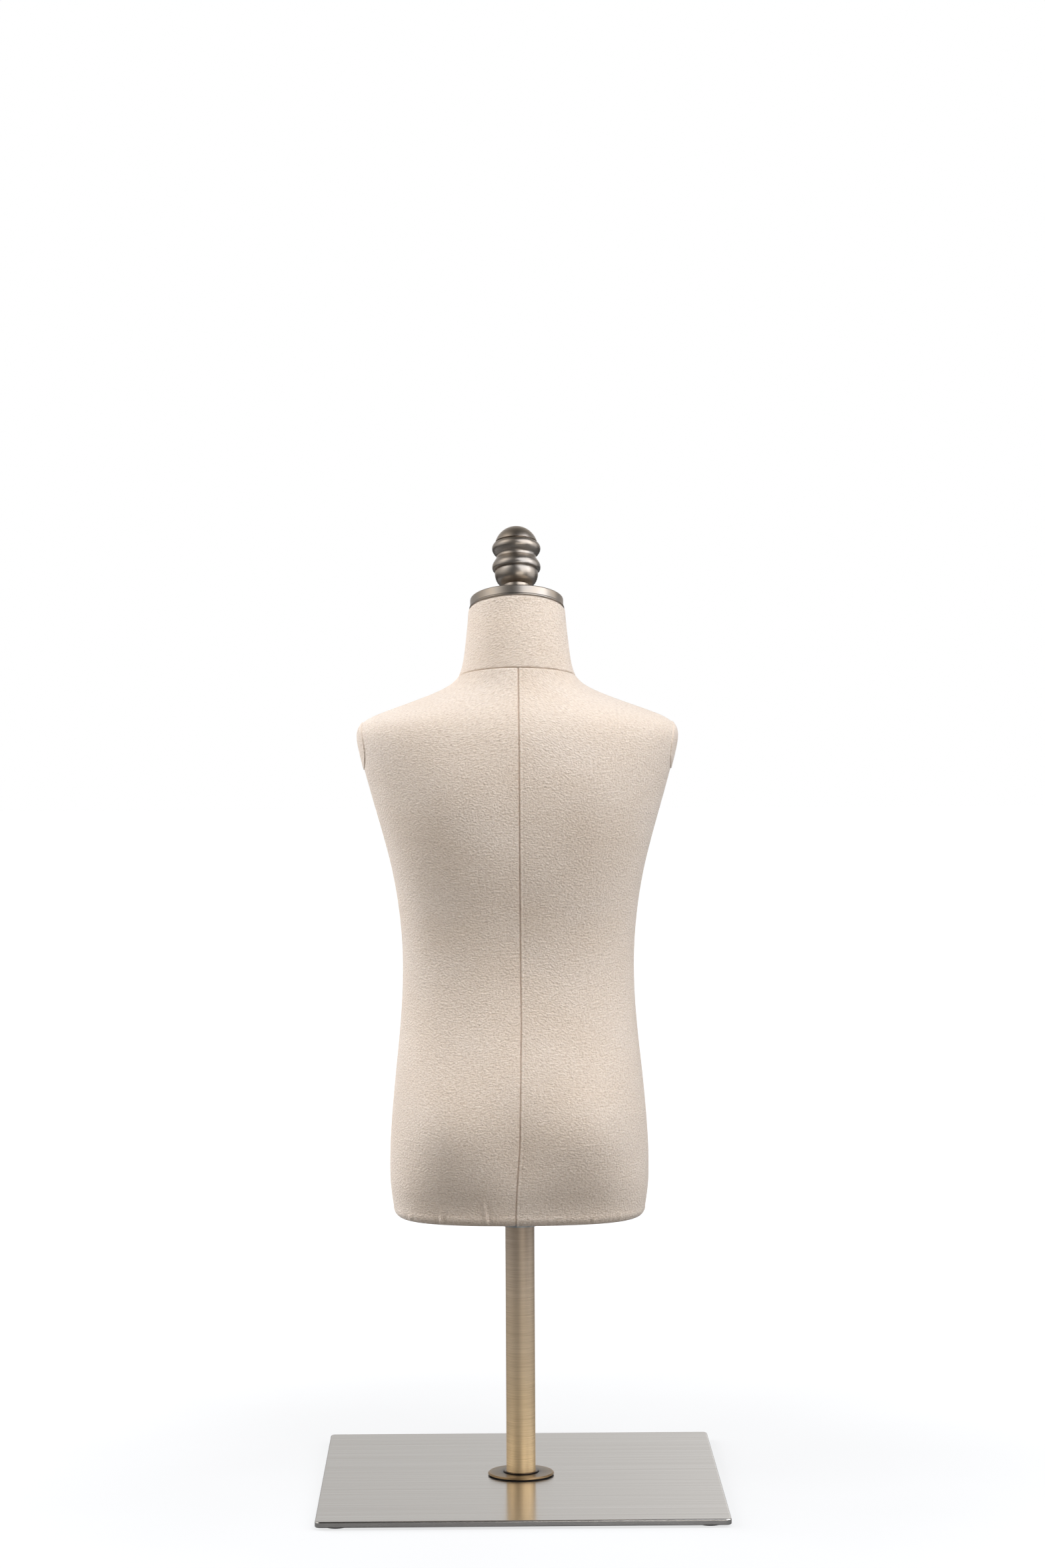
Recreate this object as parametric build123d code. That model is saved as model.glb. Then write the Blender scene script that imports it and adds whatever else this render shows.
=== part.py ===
from build123d import *
import math
import os

# Child-size dress form on a square metal stand.
# Millimetres. Origin on the floor under the middle of the stand, +Z up.
# The back of the form faces -Y and its front faces +Y.

# ---------------------------------------------------------------- driving dimensions
PLATE_SIDE = 300.0
PLATE_THICK = 4.5
PLATE_CORNER = 4.0
PLATE_EDGE = 1.2
FOOT_DIA = 18.0
FOOT_HIGH = 2.0
FOOT_INSET = 15.0

BOLT_DIA = 8.0
BOLT_HEAD_DIA = 15.0
BOLT_RECESS = 0.3
BOLT_REACH = 26.0
HEX_KEY = 5.0
HEX_DEPTH = 2.6
FIT = 0.05
BOLT_CLEAR = 1.0

WASHER_DIA = 46.0
WASHER_THICK = 0.6
FLANGE_DIA = 50.0
FLANGE_THICK = 1.7
FLANGE_LIP_DIA = 26.0
FLANGE_LIP_HIGH = 1.0
FLANGE_GROOVE = 0.7

POLE_DIA = 22.0
POLE_WALL = 1.5
POLE_TOP = 545.0
PLUG_LONG = 30.0
TOP_CAP_THICK = 2.0
TOP_CAP_SKIRT = 10.0
TOP_CAP_INSET = 0.2

HEM = 205.5
COVER_THICK = 2.5
SHELL_THICK = 3.5
LAYER_GAP = 0.3
GAP = 0.1
HEM_ROUND = 7.0
HEM_TURN_UNDER = 14.0
FOOT_RUN_ON = 5.0

BOARD_LEDGE = 8.0
BOARD_TOP = 14.0

SLEEVE_WALL = 2.5
SLEEVE_LONG = 150.0
SOCKET_PLATE_DIA = 78.0
SOCKET_PLATE_THICK = 3.0
COLLAR_DROP = 9.0
LUG_WIDE = 15.0
LUG_DROP = 20.0
LUG_DEEP = 13.0
LUG_ROUND = 3.0
HOLE_CLEAR = 1.0
SOCKET_SCREW_CIRCLE = 58.0
SOCKET_SCREW_DIA = 4.0
SOCKET_SCREW_HEAD_DIA = 8.0
SOCKET_SCREW_HEAD_HIGH = 2.4
SOCKET_SCREW_LONG = 9.0
SOCKET_SCREW_ROUND = 1.0
SCREW_CLEAR = 0.4

LOCK_DIA = 6.0
LOCK_DROP = 12.0
LOCK_PAD_THICK = 2.5
LOCK_PAD_DIA = 6.0
LOCK_PAD_HOLLOW = 1.0
KNOB_DIA = 20.0
KNOB_LONG = 12.0
KNOB_RIDGES = 16
KNOB_STANDOFF = 2.0
KNOB_ROUND = 1.2
KNOB_BORE = 9.0
FLUTE_DIA = 2.4
FLUTE_OUT = 0.5

CAP_DIA = 70.0
CAP_THICK = 9.2
CAP_LIP = 0.6
CAP_LIP_HIGH = 1.3
CAP_ROUND = 1.6
CAP_TOP = 670.0
CAP_TILT = 18.0

NECK_BLOCK_THICK = 25.0
STUD_DIA = 8.0
STUD_IN_FINIAL = 22.0
STUD_BELOW_CAP = 33.0
STUD_CLEAR = 0.6
TEE_BARREL_DIA = 10.0
TEE_BARREL_LONG = 11.0
TEE_FLANGE_DIA = 24.0
TEE_FLANGE_THICK = 1.5

NECK_SEAM = 612.5
NECK_SEAM_TILT = 7.0
ARM_PANEL_CENTRE = (128.0, 0.0, 566.0)
ARM_PANEL_RADII = (25.0, 31.0, 27.0)

PLATE_BOTTOM = FOOT_HIGH
PLATE_TOP = FOOT_HIGH + PLATE_THICK
FLANGE_BOTTOM = PLATE_TOP + WASHER_THICK + FIT
FLANGE_TOP = FLANGE_BOTTOM + FLANGE_THICK
POLE_BOTTOM = FLANGE_TOP - FLANGE_GROOVE
SECTION_POINTS = 24


class Station:
    """One level cut through the torso: its height above the hem, half its width,
    how far it reaches back and forward of the pole, where its widest line lies
    front to back, and how square its corners are (2 is an ellipse)."""

    def __init__(self, height, half_width, back, front, widest=0.0, square=2.0):
        self.height = height
        self.half_width = half_width
        self.back = back
        self.front = front
        self.widest = widest
        self.square = square


TORSO = [
    Station(7, 94.9, 71, 66, -2, 2.6),
    Station(22, 97.0, 75, 68, -2, 2.6),
    Station(45, 97.5, 79, 70, -3, 2.5),
    Station(75, 96.0, 81, 72, -3, 2.4),
    Station(105, 93.3, 77, 75, -2, 2.35),
    Station(141, 89.6, 67, 77, 1, 2.3),
    Station(187, 87.3, 60, 76, 4, 2.25),
    Station(222, 89.0, 62, 74, 3, 2.25),
    Station(262, 95.3, 69, 73, 1, 2.3),
    Station(303, 106.0, 75, 71, -1, 2.3),
    Station(335, 114.8, 76, 66, -3, 2.25),
    Station(355, 119.6, 74, 60, -5, 2.2),
    Station(365, 120.2, 72, 56, -6, 2.15),
    Station(373, 115.5, 69, 52, -7, 2.1),
    Station(379, 102.5, 66, 48, -8, 2.0),
    Station(386, 82.5, 61, 43.5, -8.5, 1.95),
    Station(394, 61.2, 55.5, 38.5, -9, 1.95),
    Station(402, 46.9, 51.5, 35, -9, 2.0),
    Station(412, 41.6, 48.3, 32.7, -8.4, 2.0),
    Station(428, 39.0, 45.0, 32.2, -6.6, 2.0),
    Station(446, 37.0, 41.4, 33.0, -4.3, 2.0),
    Station(462, 35.2, 37.6, 33.2, -2.4, 2.0),
    Station(480, 34.6, 35.2, 34.6, -0.4, 2.0),
]


# ---------------------------------------------------------------- torso surfaces
def hem_stations(radius):
    """The rounded lower edge, as stations on a quarter circle under the first one."""
    first = TORSO[0]
    made = []
    for angle in (0, 30, 60):
        inset = radius * (1 - math.sin(math.radians(angle)))
        height = first.height - radius * math.cos(math.radians(angle))
        made.append(
            Station(
                height,
                first.half_width - inset,
                first.back - inset,
                first.front - inset,
                first.widest,
                first.square,
            )
        )
    return made


def slope_normal(stations, index, reach):
    """The outward normal (sideways, upwards) of a torso outline at a station."""
    if index == 0 and stations[0].height < 1:
        return 0.0, -1.0
    low = stations[max(index - 1, 0)]
    high = stations[min(index + 1, len(stations) - 1)]
    rise = high.height - low.height
    run = reach(high) - reach(low)
    long = math.hypot(rise, run)
    return rise / long, -run / long


def offset_stations(stations, inward):
    """The same stations moved inwards, square to the surface, by one distance."""
    moved = []
    for index, station in enumerate(stations):
        _, rise = slope_normal(stations, index, lambda s: s.half_width)

        def inset(reach):
            out, up = slope_normal(stations, index, reach)
            if out == 0:
                return inward
            return inward * (1 - rise * up) / out

        moved.append(
            Station(
                station.height - inward * rise,
                station.half_width - inset(lambda s: s.half_width),
                station.back - inset(lambda s: s.back),
                station.front - inset(lambda s: s.front),
                station.widest,
                station.square,
            )
        )
    return moved


def section(station):
    """The closed outline of the torso at a station."""
    power = 2 / station.square
    points = []
    for i in range(SECTION_POINTS):
        angle = 2 * math.pi * i / SECTION_POINTS
        across = math.copysign(abs(math.cos(angle)) ** power, math.cos(angle))
        along = math.copysign(abs(math.sin(angle)) ** power, math.sin(angle))
        depth = station.front - station.widest if along > 0 else station.back + station.widest
        points.append((across * station.half_width, station.widest + along * depth, HEM + station.height))
    return Wire([Edge.make_spline(points, periodic=True)])


def torso_solid(inward, rounded_hem):
    """The solid inside the torso surface moved inwards by a distance."""
    if rounded_hem:
        stations = offset_stations(hem_stations(HEM_ROUND) + TORSO, inward)
    else:
        stations = offset_stations(TORSO, inward)
        lowest = stations[0]
        foot = Station(-FOOT_RUN_ON, lowest.half_width, lowest.back, lowest.front, lowest.widest, lowest.square)
        stations = [foot] + stations
    return Solid.make_loft([section(s) for s in stations])


def tilted_plane(height, tilt, forward=0.0):
    """A plane crossing the pole's axis at a height, tipped forward by an angle."""
    return Plane(
        origin=(0, forward, height),
        x_dir=(1, 0, 0),
        z_dir=(0, math.sin(math.radians(tilt)), math.cos(math.radians(tilt))),
    )


CAP_PLANE = tilted_plane(CAP_TOP, CAP_TILT)
SEAM_PLANE = tilted_plane(NECK_SEAM, NECK_SEAM_TILT)
WORK = 900.0
UP = Align.MIN
DOWN = Align.MAX
MID = Align.CENTER


def below(plane, drop=0.0):
    """A large block filling the space under a plane."""
    return plane.offset(-drop) * Box(WORK, WORK, WORK, align=(MID, MID, DOWN))


def above(plane, rise=0.0):
    """A large block filling the space over a plane."""
    return plane.offset(rise) * Box(WORK, WORK, WORK, align=(MID, MID, UP))


def disc(diameter, thick, bottom, x=0.0, y=0.0):
    """A plain upright cylinder standing on a level."""
    return Pos(x, y, bottom) * Cylinder(diameter / 2, thick, align=(MID, MID, UP))


def turned(profile):
    """A solid turned round +Z from its outline of (radius, height) points."""
    outline = make_face(Plane.XZ * Polyline(*profile, close=True))
    return revolve(outline, axis=Axis.Z)


def as_group(solids):
    """Separate solids kept together as one node."""
    return Compound(children=list(solids))


# ---------------------------------------------------------------- stand
def base_plate():
    """Square steel plate with softened edges and a countersunk hole for the bolt."""
    blank = Pos(0, 0, PLATE_BOTTOM) * Box(PLATE_SIDE, PLATE_SIDE, PLATE_THICK, align=(MID, MID, UP))
    blank = fillet(blank.edges().filter_by(Axis.Z), PLATE_CORNER)
    rims = blank.faces().sort_by(Axis.Z)
    blank = fillet(rims[-1].edges(), PLATE_EDGE)
    blank = chamfer(blank.faces().sort_by(Axis.Z)[0].edges(), PLATE_EDGE / 2)
    head = BOLT_HEAD_DIA / 2 + FIT
    shank = BOLT_DIA / 2 + FIT
    cone_foot = PLATE_BOTTOM + BOLT_RECESS
    hole = turned(
        [
            (0, PLATE_BOTTOM - 1),
            (head, PLATE_BOTTOM - 1),
            (head, cone_foot),
            (shank, cone_foot + head - shank),
            (shank, PLATE_TOP + 1),
            (0, PLATE_TOP + 1),
        ]
    )
    return blank - hole


def feet():
    """Four round rubber pads under the corners, named by their corner."""
    reach = PLATE_SIDE / 2 - FOOT_INSET
    made = {}
    for side, x in (("left", -reach), ("right", reach)):
        for end, y in (("back", -reach), ("front", reach)):
            pad = disc(FOOT_DIA, FOOT_HIGH, 0, x, y)
            rim = pad.edges().sort_by(Axis.Z)[0]
            made[f"foot_{end}_{side}"] = fillet(rim, FOOT_HIGH / 3)
    return made


def swivel_washer():
    """Black nylon washer that the pole turns on."""
    return disc(WASHER_DIA, WASHER_THICK, PLATE_TOP) - disc(BOLT_DIA + BOLT_CLEAR, WASHER_THICK, PLATE_TOP)


def pole_flange():
    """Round brass rose at the pole's foot, with a groove and a small lip round it."""
    outer = FLANGE_DIA / 2
    lip = FLANGE_LIP_DIA / 2
    pole = POLE_DIA / 2
    bolt = BOLT_DIA / 2 + FIT
    edge = FLANGE_THICK / 2
    blank = turned(
        [
            (bolt, FLANGE_BOTTOM),
            (outer - edge / 2, FLANGE_BOTTOM),
            (outer, FLANGE_BOTTOM + edge / 2),
            (outer, FLANGE_TOP - edge),
            (outer - edge, FLANGE_TOP),
            (lip + FLANGE_GROOVE, FLANGE_TOP),
            (lip, FLANGE_TOP - FLANGE_GROOVE),
            (lip, FLANGE_TOP + FLANGE_LIP_HIGH / 2),
            (lip - FLANGE_LIP_HIGH / 2, FLANGE_TOP + FLANGE_LIP_HIGH),
            (pole + FIT, FLANGE_TOP + FLANGE_LIP_HIGH),
            (pole + FIT, POLE_BOTTOM),
            (bolt, POLE_BOTTOM),
        ]
    )
    return blank


def pole_tube():
    """Brass-plated steel tube from the flange up into the torso."""
    long = POLE_TOP - POLE_BOTTOM
    return disc(POLE_DIA, long, POLE_BOTTOM) - disc(POLE_DIA - 2 * POLE_WALL, long, POLE_BOTTOM)


def pole_plug():
    """Steel plug pressed into the tube's foot, tapped for the bolt."""
    plug = disc(POLE_DIA - 2 * POLE_WALL, PLUG_LONG, POLE_BOTTOM)
    return plug - disc(BOLT_DIA, PLUG_LONG, POLE_BOTTOM)


def base_bolt():
    """Countersunk socket screw that comes up through the plate into the plug."""
    head = BOLT_HEAD_DIA / 2
    shank = BOLT_DIA / 2
    foot = PLATE_BOTTOM + BOLT_RECESS
    bolt = turned(
        [
            (0, foot),
            (head, foot),
            (shank, foot + head - shank),
            (shank, POLE_BOTTOM + BOLT_REACH),
            (0, POLE_BOTTOM + BOLT_REACH),
        ]
    )
    key = Pos(0, 0, foot) * extrude(RegularPolygon(HEX_KEY / math.sqrt(3), 6), HEX_DEPTH)
    return bolt - key


def pole_top_cap():
    """Plastic cap that closes the tube's upper end inside the torso."""
    lid = disc(POLE_DIA - 2 * TOP_CAP_INSET, TOP_CAP_THICK, POLE_TOP)
    skirt = disc(POLE_DIA - 2 * POLE_WALL, TOP_CAP_SKIRT, POLE_TOP - TOP_CAP_SKIRT)
    return lid + skirt


# ---------------------------------------------------------------- torso layers
def layer(outer_depth, thick, rounded_hem):
    """A hollow layer of the torso between two depths under its surface."""
    outer = torso_solid(outer_depth, rounded_hem)
    inner = torso_solid(outer_depth + thick, rounded_hem)
    return (outer - inner) & below(CAP_PLANE, CAP_THICK + GAP)


def front_half():
    """The space in front of the side seams."""
    return Pos(0, GAP / 4, 0) * Box(WORK, WORK, 2 * WORK, align=(MID, UP, MID))


def back_half():
    """The space behind the side seams."""
    return Pos(0, -GAP / 4, 0) * Box(WORK, WORK, 2 * WORK, align=(MID, DOWN, MID))


def side_half(side):
    """The space to one side of the middle seam, -1 for left and 1 for right."""
    grow = UP if side > 0 else DOWN
    return Pos(side * GAP / 4, 0, 0) * Box(WORK, WORK, 2 * WORK, align=(grow, MID, MID))


def arm_space(side, shrink=0.0):
    """The oval body that cuts an arm panel out of the cover."""
    wide, deep, high = (r - shrink for r in ARM_PANEL_RADII)
    x, y, z = ARM_PANEL_CENTRE
    return Pos(side * x, y, z) * scale(Sphere(1), by=(wide, deep, high))


def hem_outline(inward):
    """The torso's outline at the hem, moved inwards."""
    first = TORSO[0]
    return make_face(
        section(
            Station(
                0,
                first.half_width - inward,
                first.back - inward,
                first.front - inward,
                first.widest,
                first.square,
            )
        )
    )


def hem_block(inward, bottom, top):
    """An upright block with the hem's outline between two heights above the hem."""
    return Pos(0, 0, bottom) * extrude(hem_outline(inward), top - bottom, dir=(0, 0, 1))


def covers():
    """The foam-backed linen cover: neck band, arm panels, two back panels, a front."""
    cloth = layer(0, COVER_THICK, True)
    made = {"cover_neck": cloth & above(SEAM_PLANE, GAP / 2)}
    body = cloth & below(SEAM_PLANE, GAP / 2)
    body -= hem_block(HEM_ROUND + HEM_TURN_UNDER, -1, COVER_THICK + GAP)
    for name, side in (("left", -1), ("right", 1)):
        made[f"cover_arm_{name}"] = body & arm_space(side, GAP)
        body -= arm_space(side)
    made["cover_front"] = body & front_half()
    back = body & back_half()
    for name, side in (("left", -1), ("right", 1)):
        made[f"cover_back_{name}"] = back & side_half(side)
    return made


def bottom_cover():
    """Cloth oval that closes the hem, with a hole for the socket's collar."""
    inward = HEM_ROUND + HEM_TURN_UNDER + GAP
    oval = hem_block(inward, 0, COVER_THICK)
    return oval - disc(socket_hole_dia(), COVER_THICK, HEM) - lug_space(GAP, HEM + COVER_THICK)


def shells():
    """Fibreglass half shells, front and back."""
    wall = layer(COVER_THICK + LAYER_GAP, SHELL_THICK, False)
    wall &= above(Plane.XY.offset(HEM + BOARD_LEDGE + GAP))
    return {"shell_front": wall & front_half(), "shell_back": wall & back_half()}


def core():
    """The space inside the shells."""
    return torso_solid(COVER_THICK + SHELL_THICK + 2 * LAYER_GAP, False)


def bottom_board(inside):
    """Plywood board in the hem, rebated so that the shells stand on its edge."""
    ledge = torso_solid(COVER_THICK + LAYER_GAP, True) & below(Plane.XY.offset(HEM + BOARD_LEDGE))
    upper = inside & below(Plane.XY.offset(HEM + BOARD_TOP))
    board = ledge + (upper & above(Plane.XY.offset(HEM + BOARD_LEDGE - 1)))
    board -= disc(socket_hole_dia(), WORK / 2, HEM - 1)
    board -= lug_space(GAP, HEM + BOARD_TOP)
    for x, y in socket_screw_places():
        board -= disc(SOCKET_SCREW_DIA, SOCKET_SCREW_LONG, socket_seat() - SOCKET_SCREW_LONG, x, y)
    return board


def neck_block(inside):
    """Wooden block in the neck, bored for the tee nut and the stud."""
    bottom = CAP_THICK + 2 * GAP + NECK_BLOCK_THICK
    block = inside & below(CAP_PLANE, CAP_THICK + GAP) & above(CAP_PLANE, -bottom)
    block -= on_cap(disc(STUD_DIA + STUD_CLEAR, WORK / 4, -WORK / 8))
    return block - on_cap(disc(TEE_BARREL_DIA, TEE_BARREL_LONG, -bottom))


# ---------------------------------------------------------------- socket and lock
def socket_hole_dia():
    """The hole in the board and bottom cover that the socket's tube passes."""
    return sleeve_dia() + HOLE_CLEAR


def sleeve_dia():
    """The outside of the socket's tube."""
    return POLE_DIA + 2 * (FIT + SLEEVE_WALL)


def socket_seat():
    """The level of the board's top, where the socket's plate sits."""
    return HEM + BOARD_TOP


def socket_screw_places():
    """The centres of the four screws in the socket's plate."""
    radius = SOCKET_SCREW_CIRCLE / 2
    turns = [math.radians(45 + 90 * i) for i in range(4)]
    return [(radius * math.cos(t), radius * math.sin(t)) for t in turns]


def lug_space(clear, top):
    """The block that the lock lug fills in front of the pole, with a clearance."""
    deep = sleeve_dia() / 2 + LUG_DEEP
    bottom = HEM - LUG_DROP - clear
    return Pos(0, 0, bottom) * Box(
        LUG_WIDE + 2 * clear, deep + clear, top - bottom, align=(MID, UP, UP)
    )


def pole_socket():
    """Steel plate, tube and lock lug in one piece, sliding on the pole."""
    plate = disc(SOCKET_PLATE_DIA, SOCKET_PLATE_THICK, socket_seat())
    tube = disc(sleeve_dia(), COLLAR_DROP + SLEEVE_LONG, HEM - COLLAR_DROP)
    lug = lug_space(0, socket_seat())
    lug = fillet(lug.edges().filter_by(Axis.Y).group_by(Axis.Z)[0], LUG_ROUND)
    socket = plate + tube + lug
    socket -= disc(POLE_DIA + 2 * FIT, WORK, HEM - WORK / 2)
    level = HEM - LOCK_DROP
    bore = Pos(0, 0, level) * Rot(-90, 0, 0) * Cylinder(LOCK_DIA / 2 + FIT, WORK / 4, align=(MID, MID, UP))
    socket -= bore
    for x, y in socket_screw_places():
        socket -= disc(SOCKET_SCREW_DIA + SCREW_CLEAR, SOCKET_PLATE_THICK, socket_seat(), x, y)
    return socket


def socket_screws():
    """Four pan-head wood screws through the socket's plate into the board."""
    made = []
    seat = socket_seat() + SOCKET_PLATE_THICK
    for x, y in socket_screw_places():
        head = disc(SOCKET_SCREW_HEAD_DIA, SOCKET_SCREW_HEAD_HIGH, seat, x, y)
        head = fillet(head.edges().sort_by(Axis.Z)[-1], SOCKET_SCREW_ROUND)
        length = SOCKET_SCREW_LONG + SOCKET_PLATE_THICK
        made.append(head + disc(SOCKET_SCREW_DIA, length, seat - length, x, y))
    return as_group(made)


def along_lock(solid):
    """Moves a solid made round +Z so that it runs out along the lock screw."""
    return Pos(0, 0, HEM - LOCK_DROP) * Rot(-90, 0, 0) * solid


def lock_pad():
    """Nylon pad on the end of the screw, which presses on the pole."""
    start = POLE_DIA / 2 + FIT
    blank = disc(LOCK_PAD_DIA, LOCK_PAD_THICK, start - LOCK_PAD_HOLLOW)
    hollow = disc(POLE_DIA + 2 * FIT, WORK, -WORK / 2)
    return along_lock(blank) - hollow


def lock_start():
    """The distance from the pole's axis to the inner end of the lock screw."""
    return POLE_DIA / 2 + FIT - LOCK_PAD_HOLLOW + LOCK_PAD_THICK + FIT


def knob_start():
    """The distance from the pole's axis to the near face of the knob."""
    return sleeve_dia() / 2 + LUG_DEEP + KNOB_STANDOFF


def lock_screw():
    """Threaded rod from the pad out through the lug into the knob."""
    end = knob_start() + KNOB_BORE
    return along_lock(disc(LOCK_DIA, end - lock_start(), lock_start()))


def lock_knob():
    """Fluted knob at the front, out of sight below the hem."""
    start = knob_start()
    knob = disc(KNOB_DIA, KNOB_LONG, start)
    knob = fillet(knob.edges(), KNOB_ROUND)
    for i in range(KNOB_RIDGES):
        angle = 2 * math.pi * i / KNOB_RIDGES
        reach = KNOB_DIA / 2 + FLUTE_OUT
        knob -= disc(FLUTE_DIA, KNOB_LONG, start, reach * math.cos(angle), reach * math.sin(angle))
    knob -= disc(LOCK_DIA, KNOB_BORE, start)
    return along_lock(knob)


# ---------------------------------------------------------------- neck fittings
def on_cap(solid):
    """Moves a solid made round +Z onto the cap's axis, with zero at the cap's top."""
    return CAP_PLANE * solid


def neck_cap():
    """Cast metal cap on the neck, with a thin lip round its lower edge."""
    edge = CAP_DIA / 2
    lip = edge + CAP_LIP
    low = -CAP_THICK
    soft = CAP_ROUND
    cut = soft * (1 - math.cos(math.radians(45)))
    return on_cap(
        turned(
            [
                (STUD_DIA / 2 + GAP, low),
                (lip - CAP_LIP / 2, low),
                (lip, low + CAP_LIP / 2),
                (lip, low + CAP_LIP_HIGH - CAP_LIP / 2),
                (edge, low + CAP_LIP_HIGH),
                (edge, -soft),
                (edge - cut, -cut),
                (edge - soft, 0),
                (STUD_DIA / 2 + GAP, 0),
            ]
        )
    )


def neck_tee_nut():
    """Tee nut under the neck block that the stud screws into."""
    bottom = -(CAP_THICK + 2 * GAP + NECK_BLOCK_THICK)
    nut = disc(TEE_BARREL_DIA, TEE_BARREL_LONG, bottom)
    nut += disc(TEE_FLANGE_DIA, TEE_FLANGE_THICK, bottom - TEE_FLANGE_THICK)
    return on_cap(nut - disc(STUD_DIA, WORK / 4, bottom - WORK / 8))


def finial_stud():
    """Threaded stud through the cap, from the tee nut into the finial."""
    return on_cap(disc(STUD_DIA, STUD_BELOW_CAP + STUD_IN_FINIAL, -STUD_BELOW_CAP))


FERRULE_RADIUS = 10.2
DOME_RADIUS = 16.3
DOME_CENTRE = 41.1
DOME_FOOT = 45.2
DOME_STEPS = 12
FINIAL_LOWER = [
    (FERRULE_RADIUS, 0.0),
    (FERRULE_RADIUS, 10.6),
    (11.2, 11.3),
    (12.4, 12.8),
    (13.6, 14.6),
    (14.8, 16.8),
    (15.7, 19.0),
    (16.1, 21.0),
    (16.0, 22.3),
    (17.0, 22.5),
    (17.8, 23.3),
    (18.2, 24.8),
    (18.2, 26.2),
    (17.7, 27.8),
    (16.7, 29.6),
    (15.6, 31.2),
    (15.0, 32.4),
    (14.8, 33.2),
    (15.1, 34.0),
    (16.1, 35.3),
    (17.2, 36.9),
    (18.0, 38.6),
    (18.3, 40.2),
    (18.0, 41.9),
    (17.1, 43.3),
    (15.9, 44.1),
    (14.9, 44.3),
    (14.8, 44.9),
]


def finial_dome():
    """The finial's rounded top, as points on a circle from its foot to its tip."""
    foot = math.asin((DOME_FOOT - DOME_CENTRE) / DOME_RADIUS)
    points = []
    for i in range(DOME_STEPS):
        angle = foot + (math.pi / 2 - foot) * i / DOME_STEPS
        points.append((DOME_RADIUS * math.cos(angle), DOME_CENTRE + DOME_RADIUS * math.sin(angle)))
    return points + [(0, DOME_CENTRE + DOME_RADIUS)]


def finial():
    """Turned metal finial: ferrule, bulb, two beads and a domed top."""
    blind = STUD_IN_FINIAL + STUD_CLEAR
    hole = STUD_DIA / 2 + FIT
    profile = [(hole, 0)] + FINIAL_LOWER + finial_dome() + [(0, blind), (hole, blind)]
    return on_cap(turned(profile))


# ---------------------------------------------------------------- the whole form
def all_nodes():
    """Every piece of the dress form by name."""
    inside = core()
    nodes = {
        "base_plate": base_plate(),
        "swivel_washer": swivel_washer(),
        "pole_flange": pole_flange(),
        "pole_tube": pole_tube(),
        "pole_plug": pole_plug(),
        "base_bolt": base_bolt(),
        "pole_top_cap": pole_top_cap(),
        "bottom_board": bottom_board(inside),
        "bottom_cover": bottom_cover(),
        "pole_socket": pole_socket(),
        "socket_screws": socket_screws(),
        "lock_pad": lock_pad(),
        "lock_screw": lock_screw(),
        "lock_knob": lock_knob(),
        "neck_block": neck_block(inside),
        "neck_cap": neck_cap(),
        "neck_tee_nut": neck_tee_nut(),
        "finial_stud": finial_stud(),
        "finial": finial(),
    }
    nodes.update(feet())
    nodes.update(covers())
    nodes.update(shells())
    return nodes


os.makedirs("parts", exist_ok=True)
for node_name, node_shape in all_nodes().items():
    export_step(node_shape, f"parts/{node_name}.step")
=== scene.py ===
import math

import bpy
import numpy as np
from mathutils import Matrix, Vector
from mathutils.bvhtree import BVHTree


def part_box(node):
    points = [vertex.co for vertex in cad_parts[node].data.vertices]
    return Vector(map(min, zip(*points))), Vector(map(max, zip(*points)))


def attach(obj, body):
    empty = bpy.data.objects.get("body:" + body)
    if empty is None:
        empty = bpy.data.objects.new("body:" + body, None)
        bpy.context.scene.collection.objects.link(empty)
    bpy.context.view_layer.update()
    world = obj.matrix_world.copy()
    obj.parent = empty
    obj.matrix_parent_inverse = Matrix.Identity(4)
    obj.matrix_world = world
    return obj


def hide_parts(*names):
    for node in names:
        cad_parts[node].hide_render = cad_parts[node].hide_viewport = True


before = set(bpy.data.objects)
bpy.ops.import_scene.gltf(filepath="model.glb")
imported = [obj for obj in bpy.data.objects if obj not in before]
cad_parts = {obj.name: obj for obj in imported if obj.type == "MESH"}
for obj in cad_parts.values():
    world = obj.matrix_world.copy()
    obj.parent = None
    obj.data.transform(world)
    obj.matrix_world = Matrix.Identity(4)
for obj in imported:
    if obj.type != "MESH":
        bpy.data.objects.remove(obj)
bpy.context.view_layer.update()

MM = 0.001

# ------------------------------------------------------------------ places, from the frame
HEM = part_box("bottom_cover")[0].z
HEM_ROUND = 7.0 * MM
HEM_TURN_UNDER = 14.0 * MM
SEAM_TILT = math.tan(math.radians(9.5))
AXIS_Y = -4.0 * MM
FULL_TURN = 2 * math.pi
BACK = 1.5 * math.pi
TURNS = 720
BACK_COLUMN = TURNS * 3 // 4

flange_low, flange_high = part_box("pole_flange")
cap_low, cap_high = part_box("neck_cap")
CAP_TILT = math.radians(18.0)
CAP_AXIS = Vector((0, math.sin(CAP_TILT), math.cos(CAP_TILT)))
CAP_DIA = cap_high.x - cap_low.x
CAP_MIDDLE = (cap_low + cap_high) / 2
CAP_THICK = ((cap_high.z - cap_low.z) - CAP_DIA * math.sin(CAP_TILT)) / math.cos(CAP_TILT)
CAP_FOOT_CENTRE = CAP_MIDDLE - CAP_AXIS * CAP_THICK / 2


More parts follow.
